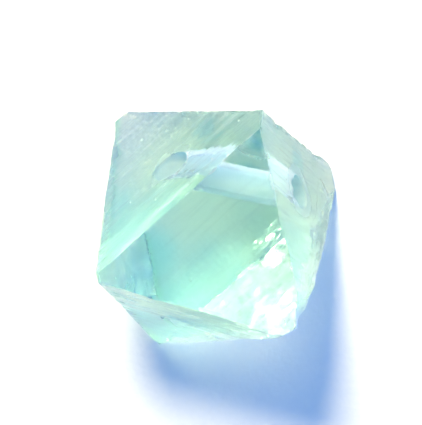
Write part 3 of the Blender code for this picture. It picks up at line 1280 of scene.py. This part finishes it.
# Colour of bruises; on the drilled wall, a painted shade colour on one side and a painted light colour on the
# other
BRUISE_COLOUR = (0.86, 0.97, 0.95, 1)
LEFT_END_COLOUR = (0.84, 1.0, 0.84, 1)
BORE_PAINTED_SHADE_COLOUR = (0.78, 1.0, 0.92, 1)
BORE_PAINTED_LIGHT_COLOUR = (0.55, 0.84, 1.0, 1)


def milky_part(sheet, place, grain, bore):
    """How much of the surface is milky: its bruises, streaks in its haze, specks and scores."""
    milk = sheet.ramp(sheet.streaks(grain, *MILK), *MILK_RANGE)
    speck = sheet.node("ShaderNodeTexVoronoi", values={"Vector": place, "Scale": SPECK_CLOSE})
    speck = sheet.ramp(speck, *SPECK_RANGE)
    scored = sheet.ramp(sheet.streaks(grain, *SCORES), *SCORE_RANGE)
    milky = sheet.mark("bruise") + milk * sheet.mark("haze") + speck * (1 - bore)
    return milky + sheet.mark("scores") * scored


def stone_tint(sheet, place, bore, lit, left_end):
    """The tinted places one over another, one of them painted shade, then the left end, the teal strip and
    the drilled wall's painted shade on its shaded side.
    """
    tint = CLEAR_TINT
    for centre, core, reach, colour in TINTED.values():
        tint = sheet.blend(sheet.near(place, centre, core, reach), tint, colour)
    tint = sheet.blend(left_end, tint, LEFT_END_TINT)
    tint = sheet.blend(sheet.mark("teal"), tint, TEAL_TINT)
    return sheet.blend(bore, tint, sheet.blend(lit, BORE_PAINTED_SHADE_TINT, BORE_LIT_TINT))


def bruise_colour(sheet, bore, lit, left_end):
    colour = sheet.blend(left_end, BRUISE_COLOUR, LEFT_END_COLOUR)
    # On the drilled wall, a painted shade colour on one side and a painted light colour on the other
    return sheet.blend(bore, colour, sheet.blend(lit, BORE_PAINTED_SHADE_COLOUR, BORE_PAINTED_LIGHT_COLOUR))


def fluorite():
    """Clear stone that absorbs what passes through it, with a milky skin where it is bruised, painted light
    and shade on its drilled wall, and one place of painted shade.
    """
    sheet = Sheet(bpy.data.materials.new("fluorite"))
    place = sheet.node("ShaderNodeTexCoord", output="Object")
    grain = sheet.node("ShaderNodeUVMap", {"uv_map": "grain"}, output="UV")
    frost = sheet.mark("frost")
    bore = sheet.mark("bore")
    lit = sheet.mark("lit")
    left_end = sheet.mark("left_end")
    fine = sheet.streaks(grain, *FINE)
    grit = sheet.speckle(place, *GRIT)
    steady, growing = ROUGH_SHARES
    bump = sheet.bump(FINE_HEIGHT * fine + GRIT_HEIGHT * frost * grit, MM)
    sheet.fill("Principled BSDF", Base_Color=stone_tint(sheet, place, bore, lit, left_end),
               Roughness=frost * (steady + growing * fine), IOR=STONE_IOR, Transmission_Weight=1.0,
               Normal=bump)
    bruised = sheet.node("ShaderNodeBsdfPrincipled",
                         values={"Base Color": bruise_colour(sheet, bore, lit, left_end),
                                 "Roughness": BRUISE_ROUGHNESS, "IOR": STONE_IOR, "Normal": bump})
    milky = milky_part(sheet, place, grain, bore)
    skin = sheet.node("ShaderNodeMixShader", values={0: milky, 1: sheet.shown("Principled BSDF"), 2: bruised})
    values = {"Color": STONE_COLOUR, "Density": STONE_DENSITY}
    inside = sheet.node("ShaderNodeVolumeAbsorption", values=values)
    sheet.fill("Material Output", Surface=skin, Volume=inside)
    return sheet.owner


# The floor: closeness and detail of its fibres and its clouds, their shares in its tone, its two
# tones, the fibres' height in millimetres, its roughness and gloss, and half its width
FIBRES = (2600.0, 3.0)
CLOUDS = (260.0, 3.0)
FIBRE_SHARE = 0.45
CLOUD_SHARE = 0.55
FLOOR_DARK = (0.84, 0.86, 0.88, 1)
FLOOR_LIGHT = (0.96, 0.95, 0.92, 1)
FIBRE_HEIGHT = 0.03
FLOOR_ROUGHNESS = 0.8
FLOOR_GLOSS = 0.1
FLOOR_HALF = 3000.0

# The lamp: the way it lies, its distance, width, power in watts and colour
LAMP_WAY = (113.5, 50.0)
LAMP_AWAY = 400.0
LAMP_WIDTH = 110.0
LAMP_POWER = 2.6
LAMP_COLOUR = (1.0, 0.85, 0.52)

# The surroundings: their colours at the left and the right, how far to either side, 1 being level
# and all the way, they change, and their strength
ROOM_LEFT = (0.36, 0.55, 0.60, 1)
ROOM_RIGHT = (0.12, 0.41, 1.40, 1)
ROOM_CHANGE = 0.7
ROOM_STRENGTH = 0.82

# The camera: its distance, how far it is turned to the left and back from straight above, the point
# that it looks at sideways from the crystal's middle, its scale, the photograph's width in pixels, and
# the width of its sensor
CAMERA_AWAY = 600.0
CAMERA_TURN_LEFT = 4.519
CAMERA_TURN_BACK = 7.755
CAMERA_AIM = (-0.101, 0.902)
PIXELS_PER_MM = 16.511
PHOTO_WIDTH = 422
SENSOR = 36.0

# How often a ray may turn, in all and by kind, and how much the gloss that it meets is blurred
BOUNCES = {
    "max_bounces": 32,
    "transmission_bounces": 32,
    "glossy_bounces": 24,
    "diffuse_bounces": 4,
}
GLOSS_BLUR = 0.3


def floor_finish():
    sheet = Sheet(bpy.data.materials.new("pale_floor"))
    place = sheet.node("ShaderNodeTexCoord", output="Object")
    fibre = sheet.speckle(place, *FIBRES)
    cloud = sheet.speckle(place, *CLOUDS)
    tone = sheet.blend(FIBRE_SHARE * fibre + CLOUD_SHARE * cloud, FLOOR_DARK, FLOOR_LIGHT)
    sheet.fill("Principled BSDF", Base_Color=tone, Roughness=FLOOR_ROUGHNESS, Specular_IOR_Level=FLOOR_GLOSS,
               Normal=sheet.bump(fibre, FIBRE_HEIGHT * MM))
    return sheet.owner


def floor():
    mesh = bpy.data.meshes.new("floor")
    half = FLOOR_HALF * MM
    corners = [(-half, -half, 0), (half, -half, 0), (half, half, 0), (-half, half, 0)]
    mesh.from_pydata(corners, [], [(0, 1, 2, 3)])
    mesh.materials.append(floor_finish())
    add_object("floor", mesh)


def lamp():
    data = bpy.data.lights.new("key", "AREA")
    data.shape = "DISK"
    data.size = LAMP_WIDTH * MM
    data.energy = LAMP_POWER
    data.color = LAMP_COLOUR
    way = Vector(heading(*LAMP_WAY))
    turn = way.to_track_quat("Z", "Y").to_matrix().to_4x4()
    add_object("key", data).matrix_world = Matrix.Translation(way * LAMP_AWAY * MM) @ turn


def room():
    sheet = Sheet(bpy.data.worlds.new("studio"))
    bpy.context.scene.world = sheet.owner
    way = sheet.node("ShaderNodeTexCoord", output="Generated")
    across = sheet.node("ShaderNodeSeparateXYZ", values={0: way}, output="X")
    side = sheet.ramp(across, -ROOM_CHANGE, ROOM_CHANGE, 0.0, 1.0)
    sheet.fill("Background", Color=sheet.blend(side, ROOM_LEFT, ROOM_RIGHT), Strength=ROOM_STRENGTH)


def camera():
    data = bpy.data.cameras.new("camera")
    data.sensor_width = SENSOR
    data.sensor_fit = "HORIZONTAL"
    data.lens = PIXELS_PER_MM * CAMERA_AWAY / PHOTO_WIDTH * SENSOR
    turn = Matrix.Rotation(-math.radians(CAMERA_TURN_BACK), 4, "X")
    turn = turn @ Matrix.Rotation(-math.radians(CAMERA_TURN_LEFT), 4, "Y")
    aim = Vector(MIDDLE) + turn @ Vector((*CAMERA_AIM, CAMERA_AWAY))
    obj = add_object("camera", data)
    obj.matrix_world = Matrix.Translation(aim * MM) @ turn
    bpy.context.scene.camera = obj


def colour_handling():
    scene = bpy.context.scene
    scene.view_settings.view_transform = "Standard"
    scene.cycles.use_denoising = True
    for kind, count in BOUNCES.items():
        setattr(scene.cycles, kind, count)
    scene.cycles.caustics_refractive = True
    scene.cycles.caustics_reflective = True
    scene.cycles.blur_glossy = GLOSS_BLUR
    scene.cycles.sample_clamp_indirect = 0


body = crystal()
body.data.materials.clear()
body.data.materials.append(fluorite())
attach(body, "root")
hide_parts("crystal")
floor()
lamp()
room()
camera()
colour_handling()
